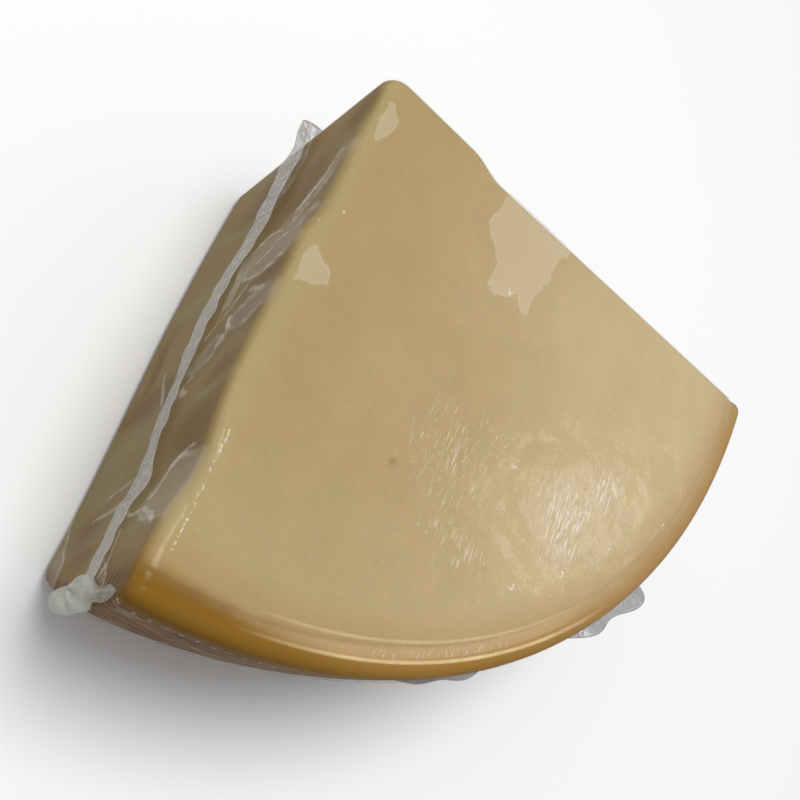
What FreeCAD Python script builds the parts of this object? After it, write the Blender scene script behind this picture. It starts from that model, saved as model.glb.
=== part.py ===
"""A quarter of a half wheel of hard grana cheese, vacuum packed in a clear bag.

The wheel was cut level at mid height and the half was cut in quarters, so the wedge has one level
cut face on top, the flat of the wheel underneath, the bulging heel outside and two upright cut
faces that meet at the wheel's axis. Frame: millimetres, +Z up, origin in the middle of the
underside's box; the axis of the wheel, the heel and the cut faces are built about the wheel's own
centre first and moved there by their Placement.
"""
import FreeCAD, Part

import math
import os

import Sketcher

doc = FreeCAD.newDocument("GranaWedge")


# ---------------------------------------------------------------------------------------------
# Driving dimensions
# ---------------------------------------------------------------------------------------------
SIZES = [
    # the wheel
    ("wheel_radius", 215.0, "radius of the wheel at its mid-height cut"),
    ("half_height", 106.0, "from the flat of the wheel to the level cut"),
    ("heel_drop", 22.0, "how much narrower the heel is at the flat than at mid height"),
    ("flat_rounding", 9.0, "rounding between the heel and the flat"),
    ("rim_rounding", 5.0, "rounding between the heel and the level cut"),
    # the wedge
    ("wedge_angle", 90.0, "angle between the two upright cut faces"),
    ("apex_rounding", 9.5, "radius of the worn upright corner at the wheel's axis"),
    ("edge_rounding", 4.5, "rounding round each upright cut face"),
    ("knife_step", 4.2, "step in the left face where the knife was set again"),
    ("knife_step_at", 71.0, "distance of that step from the axis"),
    ("left_dip", 3.2, "depth of the hollow near the heel in the left face"),
    ("left_dip_at", 167.0, "distance of that hollow from the axis"),
    ("right_step", 4.0, "step in the right face near the apex"),
    ("right_step_at", 52.0, "distance of that step from the axis"),
    ("right_lean", 4.0, "how far the right face swings out again towards the heel"),
    ("step_width", 16.0, "length over which a step in a cut face is worn smooth"),
    ("dip_width", 15.0, "half length of the hollow in the left face"),
    ("foot_wave", 1.2, "waviness of the cut faces at the flat"),
    # the level cut near the rind
    ("rind_ring_inner", 203.4, "radius where the level cut sinks below the rind"),
    ("rind_ring_outer", 209.6, "radius where it comes up again on the rind"),
    ("rind_ring_depth", 0.7, "depth of the ring between them"),
    # the bag
    ("film_gap", 0.3, "clearance between the cheese and the film"),
    ("film_thickness", 0.3, "thickness of the film"),
    ("seam_height", 56.0, "height of the bag's welded seam above the flat"),
    ("seam_thickness", 0.9, "thickness of the welded seam"),
    ("seam_width", 4.0, "how far the seam stands out from the film on the cut faces"),
    ("heel_seam_width", 0.8, "how far it stands out where it lies tight on the heel"),
    ("crumple_width", 4.0, "how much further it stands out where it is crumpled"),
    ("crumple_angle", 30.0, "angle from the left face at which it begins to crumple"),
    ("crumple_spread", 14.0, "angle over which it does so"),
    ("flap_width", 24.0, "how much further again the bag's end stands out"),
    ("flap_angle", 70.0, "angle of the middle of that flap from the left face"),
    ("flap_spread", 14.0, "half angle of the flap"),
    ("ear_length", 17.0, "length of the bag's gathered ear along the left face"),
    ("ear_height", 14.0, "height of each pleat of the ear"),
    ("ear_thickness", 7.0, "thickness of each pleat of the ear"),
    ("ear_from_heel", 2.0, "distance of the ear's middle from the heel"),
    ("ear_at", 67.0, "height of the ear's middle above the flat"),
    ("pleat_fan", 38.0, "angle between two pleats of the ear"),
]

sheet = doc.addObject("Spreadsheet::Sheet", "Sizes")
for row, (alias, value, note) in enumerate(SIZES, start=1):
    sheet.set(f"A{row}", alias)
    sheet.set(f"B{row}", str(value))
    sheet.set(f"C{row}", note)
    sheet.setAlias(f"B{row}", alias)
doc.recompute()

# how many points each free-form outline is drawn through, and how many pleats the ear has
SIDE_STATIONS = 10
APEX_STATIONS = 9
HEEL_STATIONS = 19
PLEATS = 3

# how far the band that cuts the quarter out reaches past the half wheel
BEYOND_HEEL = 30.0
BEYOND_FLAT = 6.0


def size(alias):
    """The value of one cell of the sheet."""
    return float(getattr(sheet, alias))


# ---------------------------------------------------------------------------------------------
# Turned bodies
# ---------------------------------------------------------------------------------------------
def origin_plane(body, role):
    """One of a body's own origin planes or axes."""
    return next(item for item in body.Origin.OriginFeatures if item.Role == role)


def bind_sizes(sketch, sized):
    """Adds named size constraints, each with its value and the sheet's expression for it."""
    for label, (kind, *ends), value, expression in sized:
        index = sketch.addConstraint(Sketcher.Constraint(kind, *ends, value))
        sketch.renameConstraint(index, label)
        sketch.setExpression("Constraints." + label, expression)


def turn_profile(body, sketch):
    """Turns a profile all round the wheel's axis, starting behind the apex, clear of the wedge."""
    turned = body.newObject("PartDesign::Revolution", body.Name + "_turned")
    turned.Profile = sketch
    turned.ReferenceAxis = (sketch, ["V_Axis"])
    turned.Angle = 360.0
    behind = size("wedge_angle") / 2 + 180.0
    body.Placement = FreeCAD.Placement(FreeCAD.Vector(), FreeCAD.Rotation(FreeCAD.Vector(0, 0, 1), behind))
    doc.recompute()


# ---------------------------------------------------------------------------------------------
# The half wheel: a profile with a bulging heel
# ---------------------------------------------------------------------------------------------

def heel_bulge():
    """Radius of the heel's bulging arc, whose middle lies at the level cut."""
    height = size("half_height")
    drop = size("heel_drop")
    return (height ** 2 + drop ** 2) / (2 * drop)


def half_wheel(name, grow):
    """A half wheel, all round, with every face moved outward by `grow`: an expression and its value."""
    expression, value = grow
    body = doc.addObject("PartDesign::Body", name)
    sketch = body.newObject("Sketcher::SketchObject", name + "_profile")
    sketch.AttachmentSupport = [(origin_plane(body, "XZ_Plane"), "")]
    sketch.MapMode = "FlatFace"

    # the three arcs keep their centres when the wheel grows
    height = size("half_height")
    rim_radius = size("rim_rounding")
    foot_radius = size("flat_rounding")
    bulge = heel_bulge()
    heel_centre = FreeCAD.Vector(size("wheel_radius") - bulge, height, 0)
    rim_reach = math.sqrt((bulge - rim_radius) ** 2 - rim_radius ** 2)
    foot_reach = math.sqrt((bulge - foot_radius) ** 2 - (height - foot_radius) ** 2)
    rim_centre = FreeCAD.Vector(heel_centre.x + rim_reach, height - rim_radius, 0)
    foot_centre = FreeCAD.Vector(heel_centre.x + foot_reach, foot_radius, 0)
    rim_angle = math.atan2(-rim_radius, rim_reach)
    foot_angle = math.atan2(foot_radius - height, foot_reach)

    def arc(centre, radius, first, last):
        circle = Part.Circle(centre, FreeCAD.Vector(0, 0, 1), radius + value)
        return sketch.addGeometry(Part.ArcOfCircle(circle, first, last))

    def line(start, end):
        return sketch.addGeometry(Part.LineSegment(start, end))

    axis_foot = FreeCAD.Vector(0, -value, 0)
    axis_top = FreeCAD.Vector(0, height + value, 0)
    flat = line(axis_foot, FreeCAD.Vector(foot_centre.x, -value, 0))
    foot = arc(foot_centre, foot_radius, -math.pi / 2, foot_angle)
    heel = arc(heel_centre, bulge, foot_angle, rim_angle)
    rim = arc(rim_centre, rim_radius, rim_angle, math.pi / 2)
    cut = line(FreeCAD.Vector(rim_centre.x, height + value, 0), axis_top)
    axis = line(axis_top, axis_foot)

    join = Sketcher.Constraint
    sketch.addConstraint([
        join("Tangent", flat, 2, foot, 1),
        join("Tangent", foot, 2, heel, 1),
        join("Tangent", heel, 2, rim, 1),
        join("Tangent", rim, 2, cut, 1),
        join("Coincident", cut, 2, axis, 1),
        join("Coincident", axis, 2, flat, 1),
        join("Horizontal", flat),
        join("Horizontal", cut),
        join("PointOnObject", axis, 1, -2),
        join("PointOnObject", axis, 2, -2),
    ])
    bulge_words = "(Sizes.half_height ^ 2 + Sizes.heel_drop ^ 2) / (2 * Sizes.heel_drop)"
    sized = [
        ("foot_round", ("Radius", foot), foot_radius + value, f"Sizes.flat_rounding + {expression}"),
        ("rim_round", ("Radius", rim), rim_radius + value, f"Sizes.rim_rounding + {expression}"),
        ("bulge", ("Radius", heel), bulge + value, f"{bulge_words} + {expression}"),
        ("bulge_in", ("DistanceX", heel, 3, -1, 1), -heel_centre.x, f"{bulge_words} - Sizes.wheel_radius"),
        ("bulge_up", ("DistanceY", -1, 1, heel, 3), height, "Sizes.half_height"),
        ("top", ("DistanceY", -1, 1, axis, 1), height + value, f"Sizes.half_height + {expression}"),
        ("sunk", ("DistanceY", axis, 2, -1, 1), value, expression),
    ]
    bind_sizes(sketch, sized)
    turn_profile(body, sketch)
    return body


# ---------------------------------------------------------------------------------------------
# The quarter: an upright band between two unevenly split faces
# ---------------------------------------------------------------------------------------------
def smooth_step(share):
    """0 before the step, 1 after it, level at both ends."""
    share = min(max(share, 0.0), 1.0)
    return share * share * (3 - 2 * share)


def left_inset(along, level):
    """How far inside its plane the left face lies; level is 0 at the flat and 1 at the cut."""
    step = smooth_step((along - size("knife_step_at")) / size("step_width") + 0.5)
    dip = math.exp(-((along - size("left_dip_at")) / size("dip_width")) ** 2)
    top = size("knife_step") * (0.5 - step) + size("left_dip") * dip
    turn = math.tau * (along - size("apex_rounding")) / size("wheel_radius")
    foot = -size("foot_wave") * math.sin(turn)
    return foot + (top - foot) * level


def right_inset(along, level):
    """The same for the right face."""
    step_at = size("right_step_at")
    step = smooth_step((along - step_at) / size("step_width") + 0.5)
    lean = size("right_lean") * (along - step_at) / (size("wheel_radius") - step_at)
    top = size("right_step") * (step - 0.5) - step * lean
    turn = math.tau * (along - size("apex_rounding")) / size("wheel_radius")
    foot = size("foot_wave") * math.sin(turn)
    return foot + (top - foot) * level


def wedge_axes():
    """Direction along each cut face and the normal pointing into the cheese."""
    angle = math.radians(size("wedge_angle"))
    along_left = FreeCAD.Vector(1, 0, 0)
    into_left = FreeCAD.Vector(0, 1, 0)
    along_right = FreeCAD.Vector(math.cos(angle), math.sin(angle), 0)
    into_right = FreeCAD.Vector(math.sin(angle), -math.cos(angle), 0)
    return along_left, into_left, along_right, into_right


def face_points(into, along, inset, start, reach, level, grow):
    """Points along one cut face, from where the apex's rounding ends out to the distance `reach`."""
    points = []
    for station in range(1, SIDE_STATIONS + 1):
        distance = start + (reach - start) * station / SIDE_STATIONS
        points.append(along * distance + into * (inset(distance, level) - grow))
    return points


def apex_points(level, grow, rounding):
    """Points round the worn corner at the axis, from the left face to the right one."""
    along_left, into_left, _, into_right = wedge_axes()
    angle = math.radians(size("wedge_angle"))
    start = size("apex_rounding")
    # the rounding's centre lies at these two distances from the two cut planes
    from_left = left_inset(start, level) - grow + rounding
    from_right = right_inset(start, level) - grow + rounding
    centre = along_left * ((from_right + from_left * math.cos(angle)) / math.sin(angle))
    centre += into_left * from_left
    turn = math.pi - angle
    points = []
    for station in range(APEX_STATIONS):
        share = turn * station / (APEX_STATIONS - 1)
        outward = into_left * -math.cos(share) - along_left * math.sin(share)
        points.append(centre + outward * rounding)
    return points


def cut_curve(level, grow, rounding, left_reach, right_reach):
    """One smooth curve in along the left face, round the apex and out along the right face."""
    along_left, into_left, along_right, into_right = wedge_axes()
    corner = apex_points(level, grow, rounding)
    left_start = corner[0].dot(along_left)
    right_start = corner[-1].dot(along_right)
    left = face_points(into_left, along_left, left_inset, left_start, left_reach, level, grow)
    right = face_points(into_right, along_right, right_inset, right_start, right_reach, level, grow)
    curve = Part.BSplineCurve()
    curve.interpolate([*reversed(left), *corner, *right])
    return curve


def quarter_outline(level, grow):
    """The band's closed outline at one level, running out well past the heel."""
    along_left, _, along_right, _ = wedge_axes()
    reach = size("wheel_radius") + BEYOND_HEEL
    curve = cut_curve(level, grow, size("apex_rounding") + grow, reach, reach)
    beyond = (along_left + along_right) * reach
    ends = [curve.EndPoint, beyond, curve.StartPoint]
    outer = [Part.LineSegment(a, b).toShape() for a, b in zip(ends, ends[1:])]
    return Part.Wire([curve.toShape(), *outer])


def quarter_band(name, grow):
    """The upright band, lofted between its outline below the flat and above the cut."""
    height = size("half_height")
    wires = []
    for z in (-BEYOND_FLAT, height + BEYOND_FLAT):
        wire = quarter_outline(z / height, grow)
        wire.translate(FreeCAD.Vector(0, 0, z))
        wires.append(wire)
    band = doc.addObject("Part::Feature", name)
    band.Shape = Part.makeLoft(wires, True, False)
    return band


def side_loop(shape, wheel, band):
    """The edges where the band's faces meet the turned ones, as one closed chain."""
    def on_both(edge):
        middle = Part.Vertex(edge.valueAt((edge.FirstParameter + edge.LastParameter) / 2))
        return all(skin.distToShape(middle)[0] < 0.01 for skin in (wheel.Shells[0], band.Shells[0]))

    return [number for number, edge in enumerate(shape.Edges, start=1) if on_both(edge)]


def quarter_wedge(name, grow):
    """A quarter of the half wheel, grown by `grow`, with its cut edges worn round."""
    wheel = half_wheel(name + "_wheel", grow)
    band = quarter_band(name + "_band", grow[1])
    sharp = doc.addObject("Part::Common", name + "_sharp")
    sharp.Base = wheel
    sharp.Tool = band
    doc.recompute()
    rounding = size("edge_rounding") + grow[1]
    loop = side_loop(sharp.Shape, wheel.Shape, band.Shape)
    worn = doc.addObject("Part::Fillet", name + "_worn")
    worn.Base = sharp
    worn.Edges = [(number, rounding, rounding) for number in loop]
    doc.recompute()
    return worn


# ---------------------------------------------------------------------------------------------
# The cheese: the wedge with the sunk ring just inside its rind
# ---------------------------------------------------------------------------------------------
def rind_ring():
    """The shallow ring with sloping sides that the paste left when it dried back from the rind."""
    body = doc.addObject("PartDesign::Body", "rind_ring")
    sketch = body.newObject("Sketcher::SketchObject", "rind_ring_profile")
    sketch.AttachmentSupport = [(origin_plane(body, "XZ_Plane"), "")]
    sketch.MapMode = "FlatFace"

    height = size("half_height")
    depth = size("rind_ring_depth")
    inner = size("rind_ring_inner")
    outer = size("rind_ring_outer")
    corners = [
        FreeCAD.Vector(inner, height, 0),
        FreeCAD.Vector(inner + 2 * depth, height - depth, 0),
        FreeCAD.Vector(outer - 2 * depth, height - depth, 0),
        FreeCAD.Vector(outer, height, 0),
    ]
    sides = [
        sketch.addGeometry(Part.LineSegment(start, end))
        for start, end in zip(corners, corners[1:] + corners[:1])
    ]
    for side, following in zip(sides, sides[1:] + sides[:1]):
        sketch.addConstraint(Sketcher.Constraint("Coincident", side, 2, following, 1))
    floor, outer_slope, opening, inner_slope = sides[1], sides[2], sides[3], sides[0]
    bind_sizes(sketch, [
        ("level", ("DistanceY", -1, 1, opening, 2), height, "Sizes.half_height"),
        ("depth", ("DistanceY", floor, 1, opening, 2), depth, "Sizes.rind_ring_depth"),
        ("inner", ("DistanceX", -1, 1, opening, 2), inner, "Sizes.rind_ring_inner"),
        ("outer", ("DistanceX", -1, 1, opening, 1), outer, "Sizes.rind_ring_outer"),
        ("inner_side", ("DistanceX", inner_slope, 1, inner_slope, 2), 2 * depth, "2 * Sizes.rind_ring_depth"),
        ("outer_side", ("DistanceX", outer_slope, 1, outer_slope, 2), 2 * depth, "2 * Sizes.rind_ring_depth"),
    ])
    sketch.addConstraint([Sketcher.Constraint("Horizontal", side) for side in (floor, opening)])
    turn_profile(body, sketch)
    return body


def cheese_wedge():
    """The piece of cheese."""
    cheese = doc.addObject("Part::Cut", "cheese_wedge")
    cheese.Base = quarter_wedge("cheese", ("0", 0.0))
    cheese.Tool = rind_ring()
    cheese.Label = "cheese_wedge"
    return cheese


# ---------------------------------------------------------------------------------------------
# The bag: a thin skin close round the cheese, its welded seam, its end flap and a gathered ear
# ---------------------------------------------------------------------------------------------
def heel_radius(z):
    """Radius of the bare heel at the height z."""
    bulge = heel_bulge()
    return size("wheel_radius") - bulge + math.sqrt(bulge ** 2 - (size("half_height") - z) ** 2)


def seam_sheet(grow):
    """The welded seam: a flat sheet round the pack, wider where the bag's end lies on the heel."""
    height = size("seam_height")
    level = height / size("half_height")
    width = grow + size("seam_width")
    def heel_point(angle):
        turn = math.degrees(angle)
        crumple = smooth_step((turn - size("crumple_angle")) / size("crumple_spread") + 0.5)
        flap = math.exp(-((turn - size("flap_angle")) / size("flap_spread")) ** 4)
        tight = heel_radius(height) + grow + size("heel_seam_width")
        reach = tight + size("crumple_width") * crumple + size("flap_width") * flap
        return FreeCAD.Vector(math.cos(angle), math.sin(angle), 0) * reach

    first = -width / size("wheel_radius")
    last = math.radians(size("wedge_angle")) - first
    step = (last - first) / (HEEL_STATIONS - 1)
    heel = Part.BSplineCurve()
    heel.interpolate([heel_point(first + step * station) for station in range(HEEL_STATIONS)])
    # the weld runs nearly to a point at the apex, where the bag's corner was
    along_left, _, along_right, _ = wedge_axes()
    left_reach = heel.StartPoint.dot(along_left)
    right_reach = heel.EndPoint.dot(along_right)
    faces = cut_curve(level, width, width, left_reach, right_reach)
    edges = [faces, Part.LineSegment(faces.EndPoint, heel.EndPoint), heel,
             Part.LineSegment(heel.StartPoint, faces.StartPoint)]
    outline = Part.Wire(Part.__sortEdges__([edge.toShape() for edge in edges]))
    outline.translate(FreeCAD.Vector(0, 0, height - size("seam_thickness") / 2))
    seam = doc.addObject("Part::Feature", "bag_seam")
    seam.Shape = Part.Face(outline).extrude(FreeCAD.Vector(0, 0, size("seam_thickness")))
    return seam


def ear_pleats():
    """The bag's corner, gathered into pleats that lie against the heel end of the left face."""
    pleats = []
    for number in range(PLEATS):
        pleat = doc.addObject("Part::Ellipsoid", f"bag_pleat_{number + 1}")
        pleat.setExpression("Radius1", "Sizes.ear_height / 2")
        pleat.setExpression("Radius2", "Sizes.ear_length / 2")
        pleat.setExpression("Radius3", "Sizes.ear_thickness / 2")
        fan = size("pleat_fan") * (number - (PLEATS - 1) / 2)
        centre = FreeCAD.Vector(
            heel_radius(size("ear_at")) - size("ear_from_heel"),
            -size("ear_thickness") / 2,
            size("ear_at"),
        )
        turn = FreeCAD.Rotation(FreeCAD.Vector(1, 0, 0), fan)
        pleat.Placement = FreeCAD.Placement(centre, turn)
        pleats.append(pleat)
    return pleats


def vacuum_bag():
    """The whole bag, hollow and fitting the cheese at the film's clearance."""
    inside = ("Sizes.film_gap", size("film_gap"))
    outside_words = "(Sizes.film_gap + Sizes.film_thickness)"
    skin = size("film_gap") + size("film_thickness")
    outside = doc.addObject("Part::MultiFuse", "bag_outside")
    outside.Shapes = [
        quarter_wedge("bag_outer", (outside_words, skin)),
        seam_sheet(skin),
        *ear_pleats(),
    ]
    bag = doc.addObject("Part::Cut", "vacuum_bag")
    bag.Base = outside
    bag.Tool = quarter_wedge("bag_inner", inside)
    bag.Label = "vacuum_bag"
    return bag


# ---------------------------------------------------------------------------------------------
# Build, set the frame, check and write
# ---------------------------------------------------------------------------------------------
def centre_underside(parts):
    """Moves all parts alike, so that the frame's origin is the middle of the box's underside."""
    box = FreeCAD.BoundBox()
    for part in parts:
        box.add(part.Shape.optimalBoundingBox())
    shift = FreeCAD.Vector(-box.Center.x, -box.Center.y, -box.ZMin)
    for part in parts:
        part.Placement = FreeCAD.Placement(shift, FreeCAD.Rotation())
    doc.recompute()


def check(parts):
    """Stops the build at any failed object or unsound shape."""
    for item in doc.Objects:
        if "Invalid" in item.State or "Error" in item.State:
            raise RuntimeError(f"{item.Name} failed: {item.State}")
    for part in parts:
        if part.Shape.isNull() or not part.Shape.isValid() or len(part.Shape.Solids) != 1:
            raise RuntimeError(f"{part.Label} is not one sound solid")


def main():
    parts = [cheese_wedge(), vacuum_bag()]
    doc.recompute()
    check(parts)
    centre_underside(parts)
    os.makedirs("parts", exist_ok=True)
    for part in parts:
        part.Shape.exportStep(os.path.join("parts", part.Label + ".step"))
        print(part.Label, round(part.Shape.Volume), "mm3", part.Shape.optimalBoundingBox())


main()
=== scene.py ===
"""A vacuum-packed quarter of a half wheel of hard cheese: the paste with its rind, and the clear
bag round it with its welded seam, gathered ear, end flap and folds sucked flat."""

import math

import bmesh
import bpy
import numpy as np
from mathutils import Matrix, Vector
from mathutils.kdtree import KDTree


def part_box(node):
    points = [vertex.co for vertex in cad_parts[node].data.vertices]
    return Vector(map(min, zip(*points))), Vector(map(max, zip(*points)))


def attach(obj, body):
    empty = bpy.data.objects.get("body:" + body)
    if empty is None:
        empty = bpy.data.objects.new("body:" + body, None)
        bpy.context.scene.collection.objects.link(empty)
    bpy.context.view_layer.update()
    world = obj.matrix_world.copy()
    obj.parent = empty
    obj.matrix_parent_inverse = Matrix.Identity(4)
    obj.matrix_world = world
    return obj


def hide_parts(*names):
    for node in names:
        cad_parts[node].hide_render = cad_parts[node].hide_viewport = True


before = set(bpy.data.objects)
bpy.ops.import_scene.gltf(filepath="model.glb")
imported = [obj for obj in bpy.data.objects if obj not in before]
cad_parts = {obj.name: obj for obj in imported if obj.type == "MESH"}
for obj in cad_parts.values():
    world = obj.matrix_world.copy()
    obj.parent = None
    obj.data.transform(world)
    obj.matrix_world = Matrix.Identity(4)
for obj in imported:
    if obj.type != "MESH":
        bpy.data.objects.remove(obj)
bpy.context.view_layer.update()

# --------------------------------------
# Sizes, in metres, in the wheel's own frame: its axis upright at x = y = 0, the flat at z = 0, the
# left cut face along +X and the right one along +Y
# --------------------------------------
MM = 0.001
FOOT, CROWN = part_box("cheese_wedge")
HEIGHT = CROWN.z - FOOT.z
HEEL_REACH = 0.21494  # from the axis to the box's sides: the radius less what the edges lost
AXIS = Vector((CROWN.x - HEEL_REACH, CROWN.y - HEEL_REACH, FOOT.z))
RADIUS = 0.215
HEEL_DROP = 22 * MM  # how much further out the heel is at the cut than at the flat
HEEL_BULGE = (HEIGHT ** 2 + HEEL_DROP ** 2) / (2 * HEEL_DROP)  # radius of the heel's upright arc
FLAT_ROUNDING = 9 * MM
RIM_ROUNDING = 5 * MM
APEX_ROUNDING = 9.5 * MM
EDGE_ROUNDING = 4.5 * MM
INSET_FADE = 45 * MM  # how deep in the cheese the unevenness of a cut still moves its points
RING_INNER, RING_OUTER, RING_SLOPE, RING_DEPTH = 203.4, 209.6, 1.4, 0.7  # the sunk ring, in mm
FILM_OFF = 0.45 * MM

# the uneven cuts, in mm along each face: where the knife stepped, and over what length
STEP_LENGTH = 16
LEFT_STEP_AT, LEFT_STEP, LEFT_START = 71, 3.0, 2.1
LEFT_DIP_AT, LEFT_DIP_WIDTH, LEFT_DIP = 167, 15, 3.2
RIGHT_STEP_AT, RIGHT_STEP = 52, 4.0
FOOT_WAVE = 1.2


def smooth_step(share):
    share = np.clip(share, 0.0, 1.0)
    return share * share * (3 - 2 * share)


def bump(at, middle, width):
    """A smooth hump of height 1 at `middle`."""
    return np.exp(-((at - middle) / width) ** 2)


# --------------------------------------
# The wedge's shape
# --------------------------------------
def heel_profile(stations):
    """(radius, z) along the heel, from the flat to the cut: foot arc, bulging arc, rim arc."""
    middle = np.array((RADIUS - HEEL_BULGE, HEIGHT))
    foot_in = math.sqrt((HEEL_BULGE - FLAT_ROUNDING) ** 2 - (HEIGHT - FLAT_ROUNDING) ** 2)
    rim_in = math.sqrt((HEEL_BULGE - RIM_ROUNDING) ** 2 - RIM_ROUNDING ** 2)
    foot_middle = np.array((middle[0] + foot_in, FLAT_ROUNDING))
    rim_middle = np.array((middle[0] + rim_in, HEIGHT - RIM_ROUNDING))
    foot_end = math.atan2(FLAT_ROUNDING - HEIGHT, foot_in)
    rim_start = math.atan2(-RIM_ROUNDING, rim_in)
    arcs = (
        (foot_middle, FLAT_ROUNDING, -math.pi / 2, foot_end),
        (middle, HEEL_BULGE, foot_end, rim_start),
        (rim_middle, RIM_ROUNDING, rim_start, math.pi / 2),
    )
    points = []
    for centre, radius, first, last in arcs:
        turn = np.linspace(first, last, 400)[:, None]
        points.append(centre + radius * np.hstack((np.cos(turn), np.sin(turn))))
    points = np.vstack(points)
    run = np.concatenate(([0.0], np.cumsum(np.hypot(*np.diff(points, axis=0).T))))
    share = run / run[-1]
    return np.stack([np.interp(stations, share, points[:, axis]) for axis in (0, 1)], axis=-1)


def foot_wave(along):
    """The slow wave in a cut's lower edge."""
    return FOOT_WAVE * np.sin(math.tau * (along * MM - APEX_ROUNDING) / RADIUS)


def left_inset(along, level):
    """How far inside its plane the left face lies, at a distance from the axis and a level."""
    along = along / MM
    step = smooth_step((along - LEFT_STEP_AT) / STEP_LENGTH + 0.5)
    top = LEFT_START - LEFT_STEP * step + LEFT_DIP * bump(along, LEFT_DIP_AT, LEFT_DIP_WIDTH)
    foot = -foot_wave(along)
    return (foot + (top - foot) * level) * MM


def right_inset(along, level):
    """The same for the right face."""
    along = along / MM
    step = smooth_step((along - RIGHT_STEP_AT) / STEP_LENGTH + 0.5)
    beyond = (along - RIGHT_STEP_AT) / (RADIUS / MM - RIGHT_STEP_AT)
    top = RIGHT_STEP * (step - 0.5) - step * RIGHT_STEP * beyond
    foot = foot_wave(along)
    return (foot + (top - foot) * level) * MM


def unit_wedge(across, up, round_):
    """A quarter turn of a unit square's grid: the wedge before it is shaped."""
    bm = bmesh.new()
    bmesh.ops.create_grid(bm, x_segments=across, y_segments=up, size=0.5)
    bmesh.ops.translate(bm, vec=(0.5, 0.5, 0), verts=bm.verts)
    upright = Matrix.Rotation(math.pi / 2, 3, "X")
    bmesh.ops.rotate(bm, cent=(0, 0, 0), matrix=upright, verts=bm.verts)
    bmesh.ops.spin(
        bm, geom=bm.verts[:] + bm.edges[:] + bm.faces[:], cent=(0, 0, 0), axis=(0, 0, 1),
        dvec=(0, 0, 0), angle=math.pi / 2, steps=round_)
    bmesh.ops.remove_doubles(bm, verts=bm.verts, dist=1e-6)
    bmesh.ops.recalc_face_normals(bm, faces=bm.faces)
    return bm


def vertices(mesh):
    points = np.empty(len(mesh.vertices) * 3)
    mesh.vertices.foreach_get("co", points)
    return points.reshape(-1, 3)


def put_vertices(mesh, points):
    mesh.vertices.foreach_set("co", np.ascontiguousarray(points, dtype=np.float64).ravel())
    mesh.update()


def wedge_shape(points):
    """Moves a unit wedge's points to the shape of the cut quarter, in the wheel's own frame."""
    x, y, level = points.T
    across = np.hypot(x, y)
    turn = np.arctan2(y, x) / (math.pi / 2)
    # closer rows at the rim, at the flat, at the cut and at both cut faces
    across = across + 0.17 * np.sin(math.pi * across)
    turn = turn - 0.5 * np.sin(math.tau * turn) / math.tau
    outline = heel_profile(level - 0.06 * np.sin(math.tau * level))
    radius = across * outline[:, 0]
    height = outline[:, 1]
    angle = turn * math.pi / 2
    x, y = radius * np.cos(angle), radius * np.sin(angle)

    # distance from the heel's, the flat's or the cut's surface, with the direction inwards
    rim = heel_profile(np.linspace(0, 1, 1400))
    ends = np.linspace(0, 1, 500)[:, None]
    flat = np.hstack((ends * rim[0, 0], ends * 0))
    cut = np.hstack((ends[::-1] * rim[-1, 0], ends * 0 + HEIGHT))
    skin = np.vstack((flat, rim, cut))
    slope = np.gradient(skin, axis=0)
    slope /= np.maximum(np.hypot(*slope.T), 1e-12)[:, None]
    inwards = np.stack((-slope[:, 1], slope[:, 0]), axis=1)
    tree = KDTree(len(skin))
    for number, (out, up) in enumerate(skin):
        tree.insert((out, up, 0), number)
    tree.balance()
    skin_gap = np.full(len(x), 1.0)
    skin_in = np.zeros((len(x), 2))
    for number in np.flatnonzero(np.minimum(x, y) < EDGE_ROUNDING + APEX_ROUNDING):
        point = np.array((radius[number], height[number]))
        nearest = tree.find((*point, 0))[1]
        skin_in[number] = inwards[nearest]
        skin_gap[number] = max((point - skin[nearest]) @ inwards[nearest], 0)

    # the worn apex: the square corner's points go onto the rounding's arc
    left, right = y.copy(), x.copy()
    in_left = np.maximum(APEX_ROUNDING - left, 0)
    in_right = np.maximum(APEX_ROUNDING - right, 0)
    both = (in_left > 0) & (in_right > 0)
    length = np.maximum(np.hypot(in_left, in_right), 1e-9)
    shrink = np.where(both, np.maximum(in_left, in_right) / length, 1.0)
    x = np.where(both, APEX_ROUNDING - in_right * shrink, x)
    y = np.where(both, APEX_ROUNDING - in_left * shrink, y)
    gap = np.where(both, APEX_ROUNDING - length * shrink, np.minimum(left, right))
    gap = np.maximum(gap, 0)
    cut_in = np.where(
        both[:, None], -np.stack((-in_right, -in_left), axis=1) / length[:, None],
        np.where((left < right)[:, None], (0.0, 1.0), (1.0, 0.0)))

    # the worn edges round both cut faces
    a = np.maximum(EDGE_ROUNDING - gap, 0)
    b = np.maximum(EDGE_ROUNDING - skin_gap, 0)
    both = (a > 0) & (b > 0)
    length = np.maximum(np.hypot(a, b), 1e-9)
    shrink = np.where(both, np.maximum(a, b) / length, 1.0)
    move_cut = np.where(both, EDGE_ROUNDING - a * shrink - gap, 0)
    move_skin = np.where(both, EDGE_ROUNDING - b * shrink - skin_gap, 0)
    out = np.stack((np.cos(angle), np.sin(angle)), axis=1)

    # the uneven cuts
    share = height / HEIGHT
    shift_y = left_inset(x, share) * bump(y, 0, INSET_FADE)
    shift_x = right_inset(y, share) * bump(x, 0, INSET_FADE)
    x = x + shift_x + move_cut * cut_in[:, 0] + move_skin * skin_in[:, 0] * out[:, 0]
    y = y + shift_y + move_cut * cut_in[:, 1] + move_skin * skin_in[:, 0] * out[:, 1]
    z = height + move_skin * skin_in[:, 1]

    # the sunk ring inside the rind
    at = np.hypot(x, y) / MM
    ring = smooth_step((at - RING_INNER) / RING_SLOPE) * smooth_step((RING_OUTER - at) / RING_SLOPE)
    z = z - RING_DEPTH * MM * ring * smooth_step((z - HEIGHT + 3 * MM) / (2 * MM))
    return np.stack((x, y, z), axis=1)


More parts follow.
